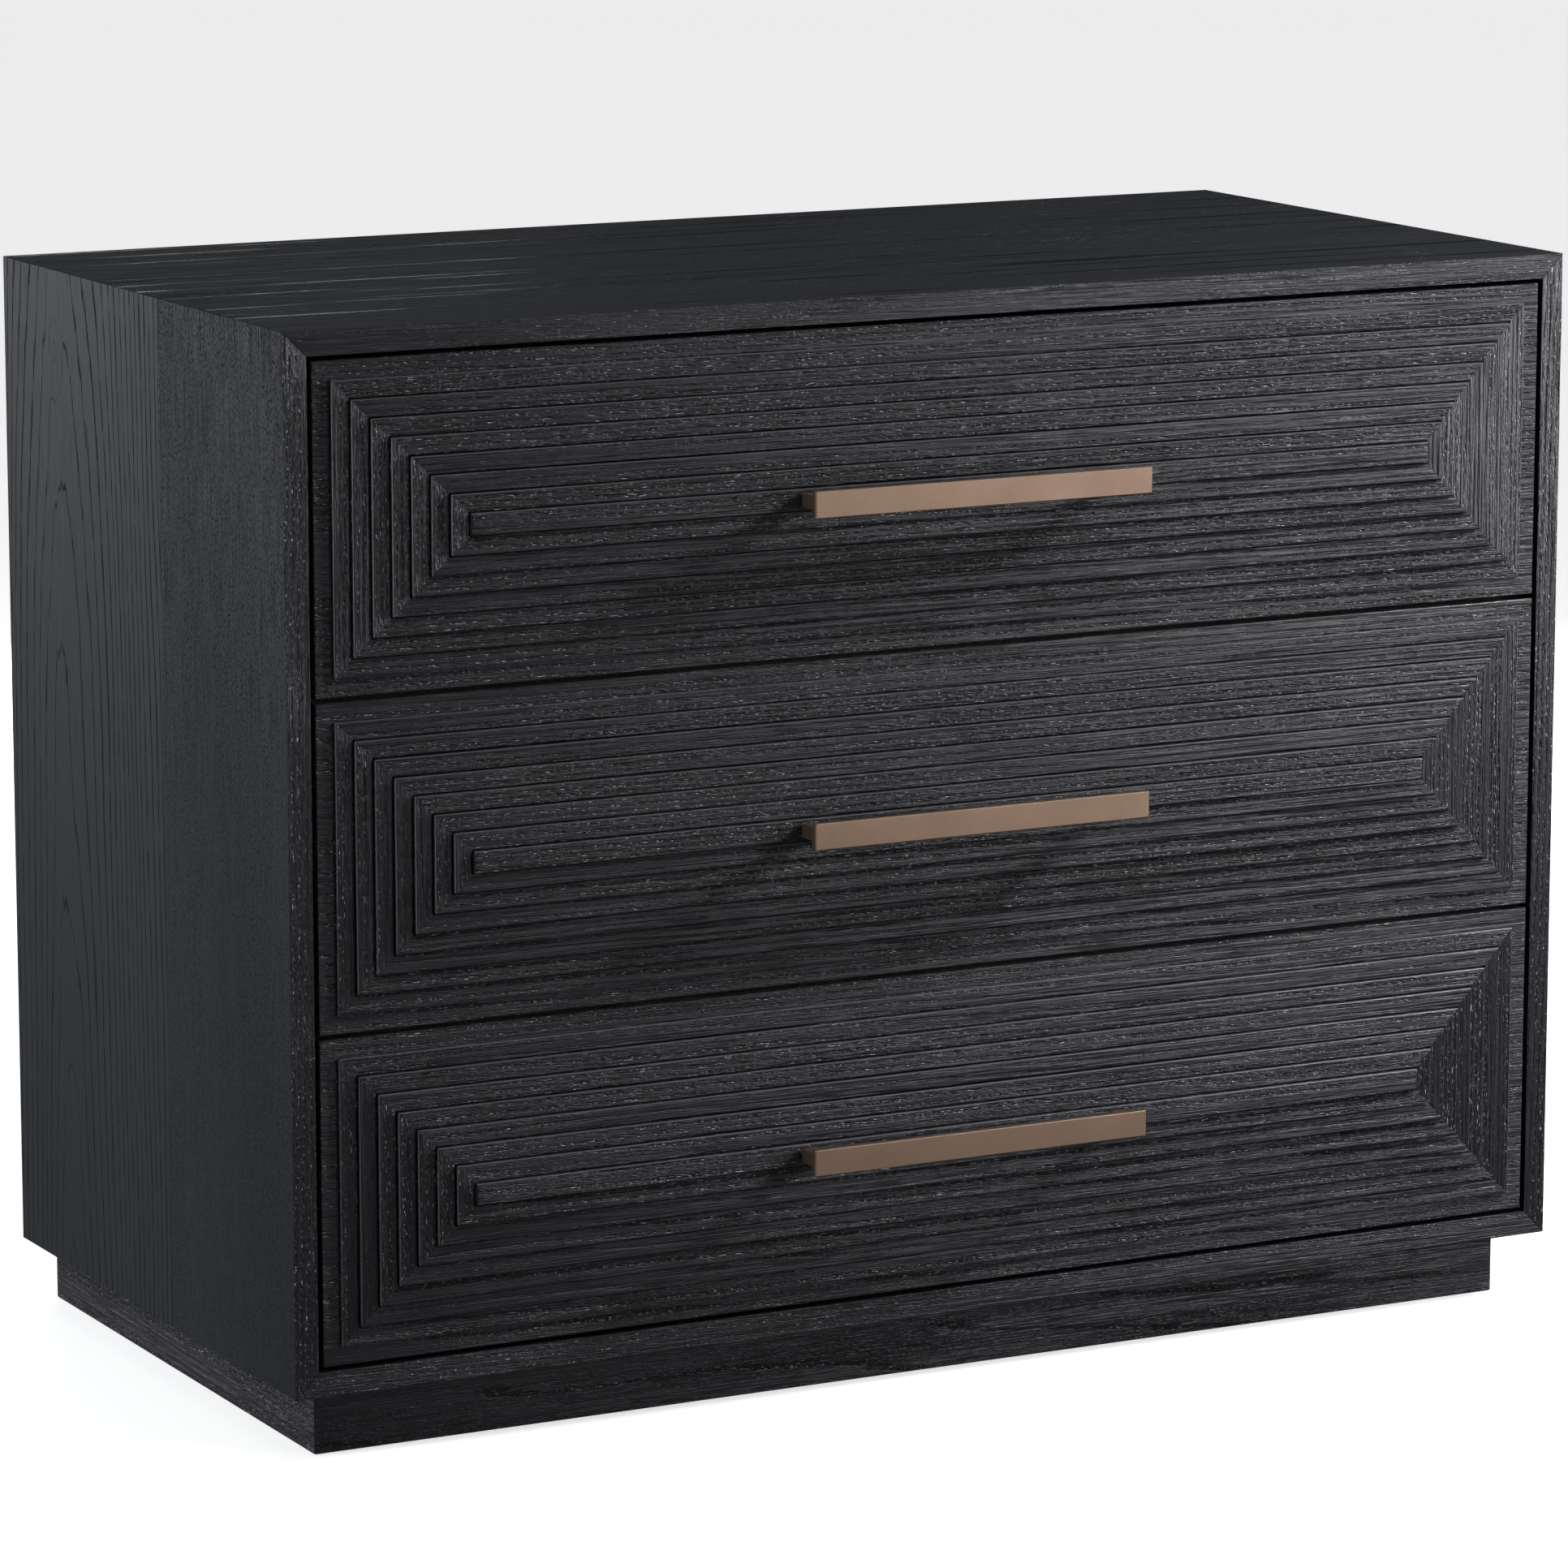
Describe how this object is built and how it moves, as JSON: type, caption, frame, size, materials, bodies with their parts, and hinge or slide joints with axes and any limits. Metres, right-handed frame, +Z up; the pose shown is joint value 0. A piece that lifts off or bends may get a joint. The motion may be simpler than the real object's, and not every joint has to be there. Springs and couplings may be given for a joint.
{
  "type": "nightstand with drawers",
  "caption": "Low nightstand in dark brushed oak: mitred case on a recessed plinth, full-width sliding drawers whose fronts step out in nested frames, and flat bar pulls.",
  "frame": {"origin": "on the floor, at the centre of the overall box, midway between the faces of the pulls and the back of the case", "axes": "+X to the right as seen from the front, +Y from the front to the back, +Z up; drawers open along -Y"},
  "size_m": [0.914, 0.502, 0.705],
  "materials": {
    "case_oak": "charcoal-stained open-grain oak veneer, matt",
    "front_oak": "charcoal-stained solid oak, wire-brushed, satin",
    "plinth_oak": "charcoal-stained oak, wire-brushed, matt",
    "back_ply": "charcoal-stained plywood, matt",
    "frame_wood": "plain sanded hardwood",
    "drawer_wood": "clear-lacquered solid oak",
    "drawer_ply": "clear-lacquered oak-faced plywood",
    "slide_steel": "bright zinc-plated rolled steel",
    "pull_bronze": "satin champagne bronze, fine bead-blasted"
  },
  "bodies": {
    "case": {"top_panel": "case_oak", "bottom_panel": "case_oak", "left_side_panel": "case_oak", "right_side_panel": "case_oak", "back_panel": "back_ply", "lower_divider_rail": "frame_wood", "upper_divider_rail": "frame_wood", "plinth_front": "plinth_oak", "plinth_left": "plinth_oak", "plinth_right": "plinth_oak", "plinth_back": "plinth_oak", "glue_block_front_left": "frame_wood", "glue_block_front_right": "frame_wood", "glue_block_back_left": "frame_wood", "glue_block_back_right": "frame_wood", "lower_left_slide_cabinet_member": "slide_steel", "lower_right_slide_cabinet_member": "slide_steel", "middle_left_slide_cabinet_member": "slide_steel", "middle_right_slide_cabinet_member": "slide_steel", "upper_left_slide_cabinet_member": "slide_steel", "upper_right_slide_cabinet_member": "slide_steel"},
    "lower_drawer": {"lower_drawer_front_board": "front_oak", "lower_drawer_stepped_frames": "front_oak", "lower_drawer_pull": "pull_bronze", "lower_drawer_box_front": "drawer_wood", "lower_drawer_box_back": "drawer_wood", "lower_drawer_left_side": "drawer_wood", "lower_drawer_right_side": "drawer_wood", "lower_drawer_bottom": "drawer_ply", "lower_left_slide_drawer_member": "slide_steel", "lower_right_slide_drawer_member": "slide_steel"},
    "lower_slide_middles": {"lower_left_slide_middle_member": "slide_steel", "lower_right_slide_middle_member": "slide_steel"},
    "middle_drawer": {"middle_drawer_front_board": "front_oak", "middle_drawer_stepped_frames": "front_oak", "middle_drawer_pull": "pull_bronze", "middle_drawer_box_front": "drawer_wood", "middle_drawer_box_back": "drawer_wood", "middle_drawer_left_side": "drawer_wood", "middle_drawer_right_side": "drawer_wood", "middle_drawer_bottom": "drawer_ply", "middle_left_slide_drawer_member": "slide_steel", "middle_right_slide_drawer_member": "slide_steel"},
    "middle_slide_middles": {"middle_left_slide_middle_member": "slide_steel", "middle_right_slide_middle_member": "slide_steel"},
    "upper_drawer": {"upper_drawer_front_board": "front_oak", "upper_drawer_stepped_frames": "front_oak", "upper_drawer_pull": "pull_bronze", "upper_drawer_box_front": "drawer_wood", "upper_drawer_box_back": "drawer_wood", "upper_drawer_left_side": "drawer_wood", "upper_drawer_right_side": "drawer_wood", "upper_drawer_bottom": "drawer_ply", "upper_left_slide_drawer_member": "slide_steel", "upper_right_slide_drawer_member": "slide_steel"},
    "upper_slide_middles": {"upper_left_slide_middle_member": "slide_steel", "upper_right_slide_middle_member": "slide_steel"}
  },
  "joints": [
    {"name": "lower_drawer_slide", "type": "slide", "parent": "case", "child": "lower_drawer", "axis": [0, -1, 0], "range_m": [0, 0.38]},
    {"name": "lower_middles_slide", "type": "slide", "parent": "case", "child": "lower_slide_middles", "axis": [0, -1, 0], "range_m": [0, 0.19]},
    {"name": "middle_drawer_slide", "type": "slide", "parent": "case", "child": "middle_drawer", "axis": [0, -1, 0], "range_m": [0, 0.38]},
    {"name": "middle_middles_slide", "type": "slide", "parent": "case", "child": "middle_slide_middles", "axis": [0, -1, 0], "range_m": [0, 0.19]},
    {"name": "upper_drawer_slide", "type": "slide", "parent": "case", "child": "upper_drawer", "axis": [0, -1, 0], "range_m": [0, 0.38]},
    {"name": "upper_middles_slide", "type": "slide", "parent": "case", "child": "upper_slide_middles", "axis": [0, -1, 0], "range_m": [0, 0.19]}
  ],
  "couplings": [
    {"joint": "lower_middles_slide", "follows": "lower_drawer_slide", "ratio": 0.5},
    {"joint": "middle_middles_slide", "follows": "middle_drawer_slide", "ratio": 0.5},
    {"joint": "upper_middles_slide", "follows": "upper_drawer_slide", "ratio": 0.5}
  ]
}
